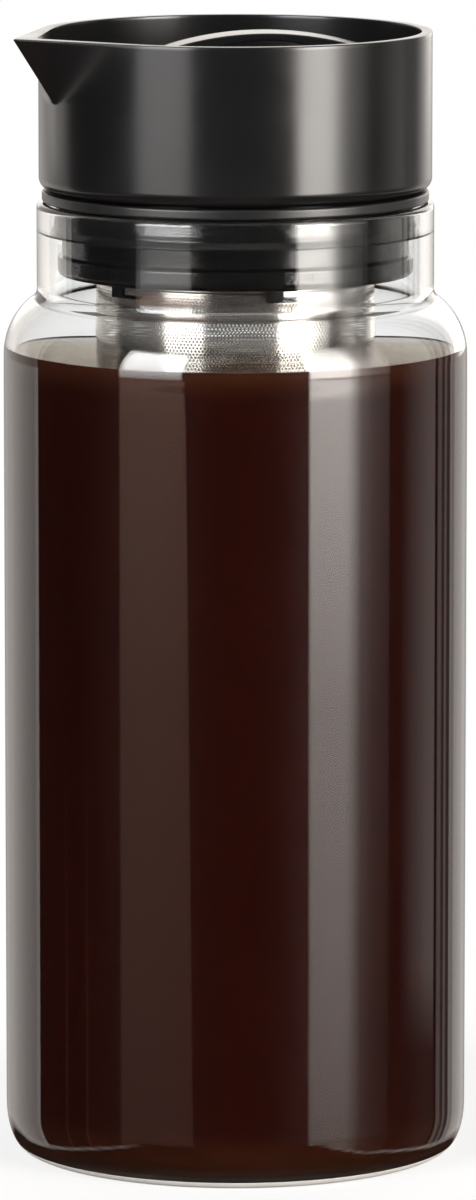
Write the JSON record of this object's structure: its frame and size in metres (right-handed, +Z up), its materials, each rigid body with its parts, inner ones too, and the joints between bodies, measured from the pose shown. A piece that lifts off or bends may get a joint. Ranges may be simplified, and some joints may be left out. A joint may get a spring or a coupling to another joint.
{
  "type": "cold brew coffee maker",
  "caption": "Tall glass carafe with a black pouring collar and spout, a turning shutter cap with an arched grip, and a hanging perforated steel filter.",
  "frame": {"origin": "middle of the carafe's flat foot, on the surface that it stands on", "axes": "+Z up along the carafe's axis, the pouring spout points along -X"},
  "size_m": [0.1059, 0.104, 0.2534],
  "materials": {
    "glass": "clear, polished",
    "satin_black": "satin black plastic",
    "gloss_black": "smooth black plastic",
    "silicone": "black silicone rubber",
    "steel": "finely perforated stainless steel"
  },
  "bodies": {
    "carafe": {"glass_carafe": "glass"},
    "lid": {"pour_collar": "satin_black", "stopper_core": "gloss_black", "rim_gasket": "silicone", "stopper_seal": "silicone", "shutter_gasket": "silicone", "pivot_pin": "gloss_black", "filter_carrier": "gloss_black", "filter_seal": "silicone"},
    "cap": {"shutter_cap": "satin_black", "cap_grip": "satin_black"},
    "filter": {"filter_rim": "steel", "filter_tube": "steel", "filter_foot": "steel"}
  },
  "joints": [
    {"name": "lid_lift", "type": "slide", "parent": "carafe", "child": "lid", "axis": [0, 0, 1], "range_m": [0, 0.2]},
    {"name": "cap_turn", "type": "hinge", "parent": "lid", "child": "cap", "pos_m": [0, 0, 0.2241], "axis": [0, 0, 1], "range_deg": [-69, 0]},
    {"name": "filter_turn", "type": "hinge", "parent": "lid", "child": "filter", "pos_m": [0, 0, 0.1993], "axis": [0, 0, 1], "range_deg": [0, 12]}
  ]
}
